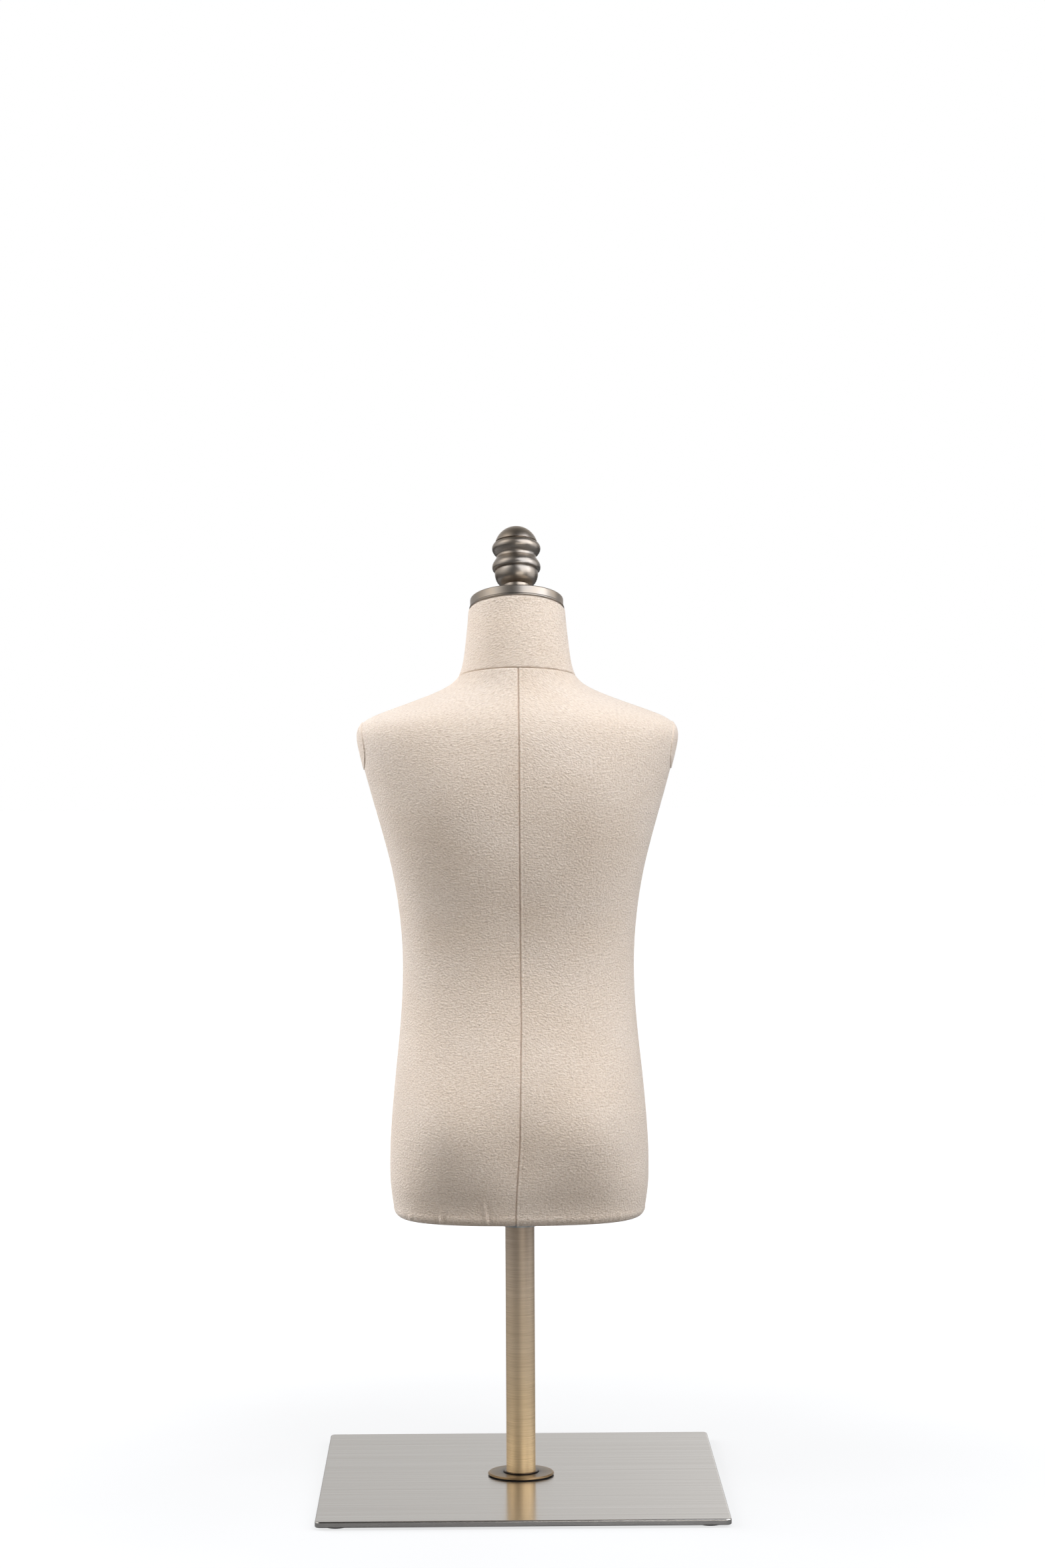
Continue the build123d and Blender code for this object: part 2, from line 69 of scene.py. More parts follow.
# ------------------------------------------------------------------ small mesh helpers
def add_mesh(name, points, faces, material, uvs=None):
    """A smooth mesh object from points, faces and, for cloth, a (u, v) in metres per point."""
    mesh = bpy.data.meshes.new(name)
    mesh.from_pydata([tuple(p) for p in points], [], [tuple(f) for f in faces])
    mesh.validate()
    mesh.polygons.foreach_set("use_smooth", [True] * len(mesh.polygons))
    if uvs is not None:
        layer = mesh.uv_layers.new(name="cloth")
        corner = np.zeros(len(mesh.loops), np.int32)
        mesh.loops.foreach_get("vertex_index", corner)
        layer.data.foreach_set("uv", np.asarray(uvs, np.float32)[corner].ravel())
    mesh.materials.append(material)
    made = bpy.data.objects.new(name, mesh)
    bpy.context.scene.collection.objects.link(made)
    return made


def grid_faces(rows, columns, closed=False, flip=False):
    """Quads over a grid of points stored row by row."""
    wide = columns if closed else columns - 1
    row, column = np.meshgrid(np.arange(rows - 1), np.arange(wide), indexing="ij")
    after = (column + 1) % columns
    a = row * columns + column
    b = row * columns + after
    c = (row + 1) * columns + after
    d = (row + 1) * columns + column
    quads = np.stack([a, b, c, d], axis=-1).reshape(-1, 4)
    return quads[:, ::-1] if flip else quads


def grid_normals(grid, closed=False):
    """Unit normals of a grid of points, outwards when columns run anticlockwise from above."""
    if closed:
        across = np.roll(grid, -1, axis=1) - np.roll(grid, 1, axis=1)
    else:
        across = np.gradient(grid, axis=1)
    up = np.gradient(grid, axis=0)
    normal = np.cross(across, up)
    return normal / np.maximum(np.linalg.norm(normal, axis=2, keepdims=True), 1e-12)


def run_lengths(grid, axis):
    """Distances along the rows or columns of a grid, from its first point."""
    steps = np.linalg.norm(np.diff(grid, axis=axis), axis=2)
    zero = np.zeros_like(np.take(steps, [0], axis=axis))
    return np.concatenate([zero, np.cumsum(steps, axis=axis)], axis=axis)


def smooth_step(low, high, value):
    """0 below low, 1 above high, and an even ramp between."""
    t = np.clip((value - low) / (high - low), 0, 1)
    return t * t * (3 - 2 * t)


def bump_at(value, centre, width):
    """A bell of height 1 round a centre."""
    return np.exp(-(((value - centre) / width) ** 2))


def place(piece, body, slot, *nodes):
    """Rides a piece on its body and hides the CAD nodes it stands for; slot, the name of its finish, is
    not used.
    """
    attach(piece, body)
    if nodes:
        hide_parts(*nodes)
    return piece


# ------------------------------------------------------------------ materials
class Nodes:
    """Short names for building a node material; scales are per metre, bump distances in metres."""

    def __init__(self, name):
        self.material = bpy.data.materials.new(name)
        self.material.use_nodes = True
        self.tree = self.material.node_tree
        self.shader = self.tree.nodes["Principled BSDF"]

    def add(self, kind, **values):
        """A node with some of its sockets or settings filled in."""
        node = self.tree.nodes.new(kind)
        for key, value in values.items():
            if key in node.inputs:
                node.inputs[key].default_value = value
            else:
                setattr(node, key, value)
        return node

    def link(self, source, target):
        self.tree.links.new(source, target)

    def mapped(self, source, scale):
        """Coordinates stretched by a scale along each axis."""
        node = self.add("ShaderNodeMapping")
        node.inputs["Scale"].default_value = scale
        self.link(source, node.inputs["Vector"])
        return node.outputs["Vector"]

    def noise(self, vector, scale=1.0, detail=3.0, rough=0.5):
        node = self.add("ShaderNodeTexNoise", Scale=scale, Detail=detail, Roughness=rough)
        self.link(vector, node.inputs["Vector"])
        return node.outputs["Fac"]

    def ramp(self, value, *stops):
        """A colour ramp through (position, colour) stops."""
        node = self.add("ShaderNodeValToRGB")
        ramp = node.color_ramp
        while len(ramp.elements) < len(stops):
            ramp.elements.new(0.5)
        for element, (position, colour) in zip(ramp.elements, stops):
            element.position = position
            element.color = (*colour, 1)
        self.link(value, node.inputs["Fac"])
        return node.outputs["Color"]

    def math(self, operation, a, b):
        """A sum or product of two numbers or sockets."""
        node = self.add("ShaderNodeMath", operation=operation)
        for socket, value in zip(node.inputs, (a, b)):
            if isinstance(value, (int, float)):
                socket.default_value = value
            else:
                self.link(value, socket)
        return node.outputs[0]

    def mix(self, amount, a, b, blend="MIX"):
        """Two colours mixed."""
        node = self.add("ShaderNodeMix", data_type="RGBA", blend_type=blend)
        for key, value in (("Factor", amount), ("A", a), ("B", b)):
            socket = node.inputs[key]
            if isinstance(value, (int, float)):
                socket.default_value = value
            elif isinstance(value, tuple):
                socket.default_value = (*value, 1)
            else:
                self.link(value, socket)
        return node.outputs["Result"]

    def bump(self, height, distance, strength=1.0, under=None):
        """A bumped normal, over another one if it is given."""
        node = self.add("ShaderNodeBump", Distance=distance, Strength=strength)
        self.link(height, node.inputs["Height"])
        if under is not None:
            self.link(under, node.inputs["Normal"])
        return node.outputs["Normal"]

    def set(self, **values):
        """Fills in the shader's own sockets."""
        for key, value in values.items():
            socket = self.shader.inputs[key.replace("_", " ")]
            if isinstance(value, (int, float, tuple)):
                socket.default_value = value
            else:
                self.link(value, socket)
        return self.material


def rgb(red, green, blue):
    """A linear colour from the 0-255 values that a screen shows."""
    made = []
    for level in (red, green, blue):
        level = level / 255
        made.append(level / 12.92 if level <= 0.04045 else ((level + 0.055) / 1.055) ** 2.4)
    return tuple(made)


def linen():
    """Natural linen-cotton: plain weave, slubs across it, uneven thread colour, a painted highlight on
    each raised pebble, soft sheen.
    """
    n = Nodes("linen")
    uv = n.add("ShaderNodeUVMap", uv_map="cloth").outputs["UV"]
    threads_across = n.noise(n.mapped(uv, (260, 2600, 1)), detail=2)
    threads_up = n.noise(n.mapped(uv, (2600, 260, 1)), detail=2)
    weave = n.math("ADD", threads_across, threads_up)
    pebble = n.noise(n.mapped(uv, (560, 700, 1)), detail=4, rough=0.6)
    slub = n.noise(n.mapped(uv, (90, 1500, 1)), detail=3, rough=0.6)
    patch = n.noise(n.mapped(uv, (14, 18, 1)), detail=3)
    warp_tint = n.ramp(weave, (0.75, rgb(220, 201, 184)), (1.25, rgb(245, 229, 213)))
    slub_tint = n.ramp(slub, (0.62, (1, 1, 1)), (0.78, rgb(238, 229, 218)))
    colour = n.mix(1.0, warp_tint, slub_tint, "MULTIPLY")
    # painted highlight and shade: the cloth is painted lighter on its raised pebbles and darker between
    # them, for the light that catches the pebble bump
    painted_pebble_highlight = n.ramp(pebble, (0.32, rgb(236, 230, 222)), (0.62, (1, 1, 1)))
    colour = n.mix(1.0, colour, painted_pebble_highlight, "MULTIPLY")
    patch_tint = n.ramp(patch, (0.3, rgb(250, 247, 243)), (0.7, (1, 1, 1)))
    colour = n.mix(1.0, colour, patch_tint, "MULTIPLY")
    coarse = n.bump(pebble, 0.0015, 1.0)
    fine = n.bump(weave, 0.00016, 0.6, under=coarse)
    n.set(Base_Color=colour, Normal=fine, Roughness=0.88, Sheen_Weight=0.4, Sheen_Roughness=0.45)
    n.set(Specular_IOR_Level=0.2)
    return n.material


def stitch_thread():
    """Cream sewing thread with its twist."""
    n = Nodes("stitch_thread")
    place_in = n.add("ShaderNodeTexCoord").outputs["Object"]
    twist = n.noise(n.mapped(place_in, (3500, 3500, 1400)), detail=2)
    colour = n.ramp(twist, (0.35, rgb(205, 194, 174)), (0.65, rgb(238, 230, 214)))
    n.set(Base_Color=colour, Normal=n.bump(twist, 0.0001, 0.7), Roughness=0.75, Sheen_Weight=0.2)
    return n.material


def pewter():
    """Dark antique nickel, polished, browner in patches, with faint turning lines."""
    n = Nodes("pewter")
    place_in = n.add("ShaderNodeTexCoord").outputs["Object"]
    turning = n.noise(n.mapped(place_in, (60, 60, 5200)), detail=2)
    stain = n.noise(n.mapped(place_in, (45, 45, 70)), detail=4, rough=0.6)
    speck = n.noise(n.mapped(place_in, (900, 900, 900)), detail=2)
    colour = n.ramp(stain, (0.35, rgb(166, 159, 152)), (0.68, rgb(180, 165, 148)))
    n.set(Base_Color=colour, Metallic=1.0)
    n.set(Roughness=n.math("ADD", n.math("MULTIPLY", stain, 0.10), 0.27))
    fine = n.bump(turning, 0.00004, 0.25)
    n.set(Normal=n.bump(speck, 0.00002, 0.1, under=fine))
    return n.material


def antique_brass():
    """Antique brass, lacquered: fine lines round the tube, golder towards the foot."""
    n = Nodes("antique_brass")
    place_in = n.add("ShaderNodeTexCoord").outputs["Object"]
    apart = n.add("ShaderNodeSeparateXYZ")
    n.link(place_in, apart.inputs[0])
    height = n.math("DIVIDE", apart.outputs["Z"], HEM)
    lines = n.noise(n.mapped(place_in, (50, 50, 4200)), detail=2)
    stain = n.noise(n.mapped(place_in, (30, 30, 22)), detail=4, rough=0.6)
    drift = n.math("ADD", height, n.math("MULTIPLY", n.math("SUBTRACT", stain, 0.5), 0.35))
    tone = n.ramp(drift, (0.05, rgb(246, 218, 172)), (0.95, rgb(228, 210, 190)))
    streak = n.ramp(lines, (0.3, rgb(228, 222, 214)), (0.7, (1, 1, 1)))
    n.set(Base_Color=n.mix(1.0, tone, streak, "MULTIPLY"), Metallic=0.88)
    n.set(Roughness=n.math("ADD", n.math("MULTIPLY", lines, 0.12), 0.42))
    n.set(Normal=n.bump(lines, 0.00004, 0.35))
    return n.material


def aged_brass_painted_shade():
    """Antique brass rubbed back at its edges and dark in the groove, with painted shade: a black band
    painted round its foot for the shade under its rim.
    """
    n = Nodes("aged_brass_painted_shade")
    place_in = n.add("ShaderNodeTexCoord").outputs["Object"]
    apart = n.add("ShaderNodeSeparateXYZ")
    n.link(place_in, apart.inputs[0])
    flat = n.add("ShaderNodeCombineXYZ")
    n.link(apart.outputs["X"], flat.inputs["X"])
    n.link(apart.outputs["Y"], flat.inputs["Y"])
    out = n.add("ShaderNodeVectorMath", operation="LENGTH")
    n.link(flat.outputs[0], out.inputs[0])
    stain = n.noise(n.mapped(place_in, (90, 90, 300)), detail=4, rough=0.6)
    share = n.math("MULTIPLY", out.outputs["Value"], 1 / flange_high.x)
    spread = n.math("ADD", share, n.math("MULTIPLY", stain, 0.04))
    tone = n.ramp(
        spread,
        (0.44, rgb(150, 122, 86)),
        (0.54, rgb(52, 46, 42)),
        (0.66, rgb(112, 98, 80)),
        (0.93, rgb(134, 116, 92)),
        (0.99, rgb(156, 130, 96)),
    )
    # painted shade: the flange fades to black over its lowest 0.34 to 0.48 mm, painted where shade
    # falls under its rim
    height = n.math("DIVIDE", n.math("SUBTRACT", apart.outputs["Z"], flange_low.z), MM)
    shade = n.ramp(height, (0.34, rgb(18, 17, 16)), (0.48, (1, 1, 1)))
    n.set(Base_Color=n.mix(1.0, tone, shade, "MULTIPLY"), Metallic=0.95)
    n.set(Roughness=n.math("ADD", n.math("MULTIPLY", stain, 0.2), 0.24))
    n.set(Normal=n.bump(stain, 0.00005, 0.3))
    return n.material


def satin_nickel():
    """Satin nickel plate, brushed along its width."""
    n = Nodes("satin_nickel")
    place_in = n.add("ShaderNodeTexCoord").outputs["Object"]
    lines = n.noise(n.mapped(place_in, (7, 2400, 600)), detail=4, rough=0.65)
    long_lines = n.noise(n.mapped(place_in, (2.5, 500, 300)), detail=3)
    tone = n.ramp(lines, (0.3, rgb(205, 200, 194)), (0.7, rgb(226, 222, 217)))
    band = n.ramp(long_lines, (0.35, rgb(240, 238, 236)), (0.65, (1, 1, 1)))
    across = n.add("ShaderNodeCombineXYZ", X=0.0, Y=1.0, Z=0.0).outputs[0]
    n.set(Base_Color=n.mix(1.0, tone, band, "MULTIPLY"), Metallic=1.0, Anisotropic=0.75, Tangent=across)
    n.set(Roughness=n.math("ADD", n.math("MULTIPLY", lines, 0.12), 0.16))
    n.set(Normal=n.bump(lines, 0.00002, 0.35))
    return n.material


def plated_steel():
    """Zinc-plated steel with a mottled bloom."""
    n = Nodes("plated_steel")
    place_in = n.add("ShaderNodeTexCoord").outputs["Object"]
    bloom = n.noise(n.mapped(place_in, (160, 160, 160)), detail=4, rough=0.6)
    colour = n.ramp(bloom, (0.3, rgb(172, 176, 180)), (0.7, rgb(205, 206, 204)))
    n.set(Base_Color=colour, Metallic=1.0)
    n.set(Roughness=n.math("ADD", n.math("MULTIPLY", bloom, 0.25), 0.25))
    n.set(Normal=n.bump(bloom, 0.00005, 0.3))
    return n.material


def moulded(name, dark, light, rough, grain):
    """Moulded plastic or rubber with a fine surface grain."""
    n = Nodes(name)
    place_in = n.add("ShaderNodeTexCoord").outputs["Object"]
    pits = n.noise(n.mapped(place_in, (grain, grain, grain)), detail=3)
    n.set(Base_Color=n.ramp(pits, (0.3, dark), (0.7, light)), Roughness=rough)
    n.set(Normal=n.bump(pits, 0.00012, 0.4))
    return n.material


def wood(name, dark, light, stretch):
    """Sanded wood with its grain drawn out along one axis."""
    n = Nodes(name)
    place_in = n.add("ShaderNodeTexCoord").outputs["Object"]
    grain = n.noise(n.mapped(place_in, stretch), detail=6, rough=0.65)
    pores = n.noise(n.mapped(place_in, tuple(6 * s for s in stretch)), detail=2)
    colour = n.ramp(grain, (0.3, dark), (0.7, light))
    n.set(Base_Color=colour, Roughness=0.7, Normal=n.bump(pores, 0.0001, 0.4))
    return n.material


def glass_fibre():
    """Laid glass fibre in resin, with its strands showing."""
    n = Nodes("glass_fibre")
    place_in = n.add("ShaderNodeTexCoord").outputs["Object"]
    strands = n.noise(n.mapped(place_in, (220, 220, 1400)), detail=5, rough=0.7)
    colour = n.ramp(strands, (0.3, rgb(196, 186, 158)), (0.7, rgb(222, 215, 192)))
    n.set(Base_Color=colour, Roughness=0.45, Normal=n.bump(strands, 0.0003, 0.5))
    return n.material


LINEN = linen()
THREAD = stitch_thread()
PEWTER = pewter()
BRASS = antique_brass()
AGED_BRASS_PAINTED_SHADE = aged_brass_painted_shade()
NICKEL = satin_nickel()
STEEL = plated_steel()
RUBBER = moulded("black_rubber", rgb(18, 18, 18), rgb(34, 34, 33), 0.75, 1500)
NYLON = moulded("black_nylon", rgb(14, 14, 14), rgb(26, 26, 26), 0.5, 1800)
WHITE_NYLON = moulded("white_nylon", rgb(214, 212, 204), rgb(232, 231, 225), 0.5, 1500)
KNOB_PLASTIC = moulded("knob_plastic", rgb(20, 20, 20), rgb(36, 36, 36), 0.45, 2200)
PLYWOOD = wood("plywood", rgb(184, 152, 110), rgb(214, 186, 146), (14, 160, 900))
BEECH = wood("beech", rgb(186, 146, 106), rgb(216, 182, 142), (260, 260, 22))
GLASS_FIBRE = glass_fibre()


# ------------------------------------------------------------------ the torso's surface
class TorsoSurface:
    """The cover's outside as a distance from an upright axis, by height and angle.

    It is measured from the CAD cover, evened out, and given the back's finer relief."""

    STEP = 1.0 * MM
    REACH = 0.4
    # the hard shell lies 2.8 mm under the cover, so the relief goes no deeper than this, in mm
    DEEPEST = 2.0

    def __init__(self):
        self.low = HEM + HEM_ROUND + 1.0 * MM
        self.high = cap_high.z
        self.levels = np.arange(self.low, self.high, self.STEP)
        self.angles = (np.arange(TURNS) + 0.5) * FULL_TURN / TURNS
        radius = self.measure(self.cover_tree())
        radius = self.despeckle(radius)
        self.radius = self.soften(self.soften(radius, 0, 3.0), 1, 5.0)
        self.radius += self.relief()

    @staticmethod
    def cover_tree():
        """The CAD cover as a tree that rays can be cast at."""
        points, faces = [], []
        for name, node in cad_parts.items():
            if name.startswith("cover_"):
                start = len(points)
                points += [v.co[:] for v in node.data.vertices]
                faces += [[start + i for i in p.vertices] for p in node.data.polygons]
        return BVHTree.FromPolygons(points, faces)

    def measure(self, tree):
        """Rays inwards to the axis at each height and angle; gaps are carried up from below."""
        found = np.full((len(self.levels), TURNS), np.nan)
        for column, angle in enumerate(self.angles):
            out = Vector((math.cos(angle), math.sin(angle), 0))
            for row, level in enumerate(self.levels):
                axis = Vector((0, AXIS_Y, level))
                hit = tree.ray_cast(axis + out * self.REACH, -out, self.REACH)[0]
                if hit is not None:
                    found[row, column] = (hit - axis).dot(out)
        for row in range(1, len(self.levels)):
            gap = np.isnan(found[row]) | (found[row] < 0.5 * found[row - 1])
            found[row, gap] = found[row - 1, gap]
        return found

    @staticmethod
    def despeckle(radius):
        """Takes the middle value of each point and its neighbours round the body."""
        around = np.stack([np.roll(radius, k, axis=1) for k in (-2, -1, 0, 1, 2)])
        return np.median(around, axis=0)

    @staticmethod
    def soften(radius, axis, sigma):
        """A Gaussian blur that runs on past the ends with the same slope."""
        reach = int(3 * sigma)
        weights = np.exp(-0.5 * (np.arange(-reach, reach + 1) / sigma) ** 2)
        weights /= weights.sum()
        if axis == 1:
            rolled = (w * np.roll(radius, k, axis=1) for k, w in zip(range(-reach, reach + 1), weights))
            return sum(rolled)
        below = 2 * radius[:1] - radius[reach:0:-1]
        above = 2 * radius[-1:] - radius[-2 : -reach - 2 : -1]
        long = np.concatenate([below, radius, above])
        count = len(radius)
        return sum(w * long[k : k + count] for k, w in enumerate(weights))

    def relief(self):
        """The finer shape of the back, in mm: blades, spine, seat and the hollow over the hem."""
        height = (self.levels - HEM)[:, None] / MM
        x = self.radius * np.cos(self.angles) / MM
        behind = smooth_step(0.0, 0.55, -np.sin(self.angles))[None, :]
        side = np.abs(x)
        spine = -1.0 * bump_at(x, 0, 18) * smooth_step(90, 150, height) * smooth_step(385, 320, height)
        blades = 2.8 * bump_at(side, 54, 27) * bump_at(height, 316, 42)
        under_blades = 1.6 * bump_at(side, 10, 60) * bump_at(height, 258, 40)
        seat = 7.4 * bump_at(side, 50, 28) * bump_at(height, 68, 36)
        cleft = -1.6 * bump_at(x, 0, 16) * bump_at(height, 52, 34)
        tuck = -1.6 * bump_at(side, 46, 34) * bump_at(height, 15, 15)
        total = behind * (spine + blades + under_blades + seat + cleft + tuck)
        return np.maximum(total, -self.DEEPEST) * MM

    def at(self, level, angle):
        """The radius at heights and angles, between the measured points."""
        row = np.clip((level - self.low) / self.STEP, 0, len(self.levels) - 1.001)
        column = (angle / FULL_TURN * TURNS - 0.5) % TURNS
        r0 = row.astype(int)
        c0 = column.astype(int)
        c1 = (c0 + 1) % TURNS
        fr = row - r0
        fc = column - c0
        low = self.radius[r0, c0] * (1 - fc) + self.radius[r0, c1] * fc
        high = self.radius[r0 + 1, c0] * (1 - fc) + self.radius[r0 + 1, c1] * fc
        return low * (1 - fr) + high * fr

    def points(self, level, angle):
        """Points on the surface."""
        radius = self.at(level, angle)
        return np.stack([radius * np.cos(angle), AXIS_Y + radius * np.sin(angle), level], axis=-1)


TORSO = TorsoSurface()
seam_back_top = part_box("cover_back_left")[1].z
seam_back_y = -TORSO.at(np.array([seam_back_top]), np.array([BACK]))[0] + AXIS_Y
NECK_SEAM = seam_back_top + SEAM_TILT * seam_back_y
# a plane's height on the torso is found again this many times, each from the last radius
PLANE_ROUNDS = 4


def neck_seam_level(angle):
    """The neck seam's height at an angle: a plane, high at the back."""
    level = np.full_like(angle, NECK_SEAM)
    for _ in range(PLANE_ROUNDS):
        y = AXIS_Y + TORSO.at(level, angle) * np.sin(angle)
        level = NECK_SEAM - SEAM_TILT * y
    return level


def cap_foot_level(angle):
    """The height of the cap's underside at an angle."""
    level = np.full_like(angle, cap_low.z)
    for _ in range(PLANE_ROUNDS):
        y = AXIS_Y + TORSO.at(level, angle) * np.sin(angle)
        level = CAP_FOOT_CENTRE.z - math.tan(CAP_TILT) * (y - CAP_FOOT_CENTRE.y)
    return level


EDGE_STEPS = np.array([0.0, 0.25, 0.5, 0.8, 1.15, 1.6, 2.2, 3.0, 4.0, 5.2]) * MM


def edge_spacing(length, near_start, near_end, step):
    """Distances from 0 to length, close together near an end that has a seam."""
    start = EDGE_STEPS if near_start else np.array([0.0])
    end = length - (EDGE_STEPS[::-1] if near_end else np.array([0.0]))
    count = max(2, int(round((end[0] - start[-1]) / step)))
    middle = np.linspace(start[-1], end[0], count + 1)[1:-1]
    return np.concatenate([start, middle, end])


class CoverGrid:
    """Columns up the torso from the hem's roll to the neck seam, evenly spaced along the cloth."""

    STEP = 1.45 * MM
    SAMPLES = 700

    def __init__(self, low_level, high_level, seam_low, seam_high, step=STEP):
        self.angles = np.arange(TURNS) * FULL_TURN / TURNS
        low = low_level(self.angles)
        high = high_level(self.angles)
        samples = np.linspace(0, 1, self.SAMPLES)[:, None]
        levels = low + (high - low) * samples
        points = TORSO.points(levels, np.broadcast_to(self.angles, levels.shape))
        along = run_lengths(points, 0)
        longest = along[-1].max()
        share = edge_spacing(longest, seam_low, seam_high, step) / longest
        columns = range(len(self.angles))
        self.levels = np.stack(
            [np.interp(share * along[-1, j], along[:, j], levels[:, j]) for j in columns], axis=1
        )

    def row_points(self, row, angle):
        """Points of one row at angles, which may run past a full turn."""
        angles = np.append(self.angles, FULL_TURN)
        levels = np.append(self.levels[row], self.levels[row, 0])
        level = np.interp(angle % FULL_TURN, angles, levels)
        return TORSO.points(level, angle % FULL_TURN)


def line_lengths(line):
    """Distances along a line of points, from its first."""
    return np.concatenate([[0], np.cumsum(np.linalg.norm(np.diff(line, axis=0), axis=1))])


ROW_SAMPLES = 500


def panel_grid(grid, start_angle, end_angle, step, seams=(True, True)):
    """Points of a cover panel between two seams, given as angles for each row."""
    rows = len(grid.levels)
    fine = np.linspace(0, 1, ROW_SAMPLES)
    polylines = [
        grid.row_points(r, start_angle[r] + (end_angle[r] - start_angle[r]) * fine) for r in range(rows)
    ]
    lengths = [line_lengths(line) for line in polylines]
    longest = max(along[-1] for along in lengths)
    count = len(edge_spacing(longest, *seams, step))
    made = np.zeros((rows, count, 3))
    for r, (line, along) in enumerate(zip(polylines, lengths)):
        spacing = edge_spacing(along[-1], *seams, along[-1] * step / longest)
        if len(spacing) != count:
            spacing = np.interp(np.linspace(0, 1, count), np.linspace(0, 1, len(spacing)), spacing)
        for k in range(3):
            made[r, :, k] = np.interp(spacing, along, line[:, k])
    return made


HEM_ROUND_ROWS = 9
HEM_UNDER_ROWS = 7


def with_hem(panel):
    """The panel with rows added below it: the roll under the hem and the turned-in edge."""
    first = panel[0]
    across = np.gradient(first, axis=0)
    inward = np.stack([-across[:, 1], across[:, 0], np.zeros(len(first))], axis=1)
    inward /= np.linalg.norm(inward, axis=1, keepdims=True)
    straight = first.copy()
    straight[:, 2] = HEM + HEM_ROUND
    rows = [straight]
    for step in range(1, HEM_ROUND_ROWS + 1):
        angle = math.pi / 2 * step / HEM_ROUND_ROWS
        row = straight + inward * HEM_ROUND * (1 - math.cos(angle))
        row[:, 2] = HEM + HEM_ROUND * (1 - math.sin(angle))
        rows.append(row)
    for step in range(1, HEM_UNDER_ROWS + 1):
        row = straight + inward * (HEM_ROUND + HEM_TURN_UNDER * step / HEM_UNDER_ROWS)
        row[:, 2] = HEM
        rows.append(row)
    return np.concatenate([np.array(rows[::-1]), panel], axis=0)


# ------------------------------------------------------------------ seams, puckers and stitches
def crease(distance, depth=1.2, wide=0.45, dip=0.25, dip_reach=1.8):
    """How far cloth is pulled in at a distance from a seam: a sharp line in a shallow dip."""
    d = distance / MM
    return -(depth * np.exp(-((d / wide) ** 2)) + dip * np.exp(-d / dip_reach)) * MM


def ridge(distance):
    """The rolled seam allowance that stands up on one side of the centre-back seam."""
    d = distance / MM
    return (0.62 * bump_at(d, 1.0, 0.62) - 0.16 * bump_at(d, 2.4, 0.6)) * MM


HEM_PUCKERS = [
    # mm across the back from the middle, mm high, mm of lift (or notch, if negative), and slant
    (-59.0, 15.0, 1.5, 0.02),
    (-24.5, 26.0, 1.4, -0.16),
    (51.5, 7.0, -1.3, 0.1),
    (-82.0, 9.0, 0.6, 0.05),
    (22.0, 8.0, 0.5, -0.08),
    (74.0, 10.0, 0.6, 0.1),
]


def hem_puckers(points):
    """Small tucks where the cloth is drawn under the hem at the back."""
    x = points[..., 0] / MM
    height = (points[..., 2] - HEM) / MM
    behind = smooth_step(0, -30, points[..., 1] / MM)
    total = np.zeros(x.shape)
    for across, high, lift, slant in HEM_PUCKERS:
        off = x - across - slant * height
        fade = smooth_step(high, 0.2 * high, height) * smooth_step(0.5, 3.5, height)
        beside = 0.55 * bump_at(off, 2.4, 1.6) + 0.45 * bump_at(off, -2.4, 1.6)
        total += fade * lift * (bump_at(off, 0, 1.1) - beside)
    return behind * total * MM


def undulation(points, seed, amount, waves=14):
    """Slow unevenness of stretched cloth: waves 14 to 60 mm long, in all directions."""
    chance = np.random.default_rng(seed)
    total = np.zeros(points.shape[:-1])
    for _ in range(waves):
        wave = chance.normal(0, 1, 3) * np.array([1, 1, 0.7])
        wave *= FULL_TURN / (chance.uniform(14, 60) * MM) / np.linalg.norm(wave)
        total += np.sin(points @ wave + chance.uniform(0, FULL_TURN)) * chance.uniform(0.3, 1)
    return total / waves * amount


def cover_panel(name, grid_points, seed, ridged=False):
    """A cloth panel with its sides and top drawn into their seams; one panel's first side is ridged."""
    points = with_hem(grid_points)
    rows, columns = points.shape[:2]
    normal = grid_normals(points)
    across = run_lengths(points, 1)
    up = run_lengths(points, 0)
    offset = undulation(points, seed, 0.16 * MM) + hem_puckers(points)
    offset += crease(across)
    offset += crease(across[:, -1:] - across)
    offset += crease(up[-1:] - up, depth=1.0)
    if ridged:
        offset += ridge(across)
    points = points + normal * offset[..., None]
    half = columns // 2
    uvs = np.stack([across - across[:, half : half + 1], up], axis=-1).reshape(-1, 2)
    return add_mesh(name, points.reshape(-1, 3), grid_faces(rows, columns), LINEN, uvs)


def back_seam_x(level):
    """Where the centre-back seam lies: it wanders a little and swings left at the hem."""
    height = (level - HEM) / MM
    heights = [0, 30, 60, 150, 260, 410]
    return np.interp(height, heights, [-4.0, -2.6, -0.4, 1.2, 0.6, 0.4]) * MM


def back_seam_angles(grid):
    """The seam's angle in each row, eased so that it doesn't kink."""
    middle = grid.levels[:, BACK_COLUMN]
    radius = TORSO.at(middle, np.full_like(middle, BACK))
    angle = BACK + np.arctan2(back_seam_x(middle), radius)
    reach = 7
    kernel = np.ones(2 * reach + 1) / (2 * reach + 1)
    padded = np.concatenate([[angle[0]] * reach, angle, [angle[-1]] * reach])
    return np.convolve(padded, kernel, "valid")


def columns_at(places, along, table):
    """A table's three columns, read at some places along a line."""
    return np.stack([np.interp(places, along, table[:, c]) for c in range(3)], axis=1)


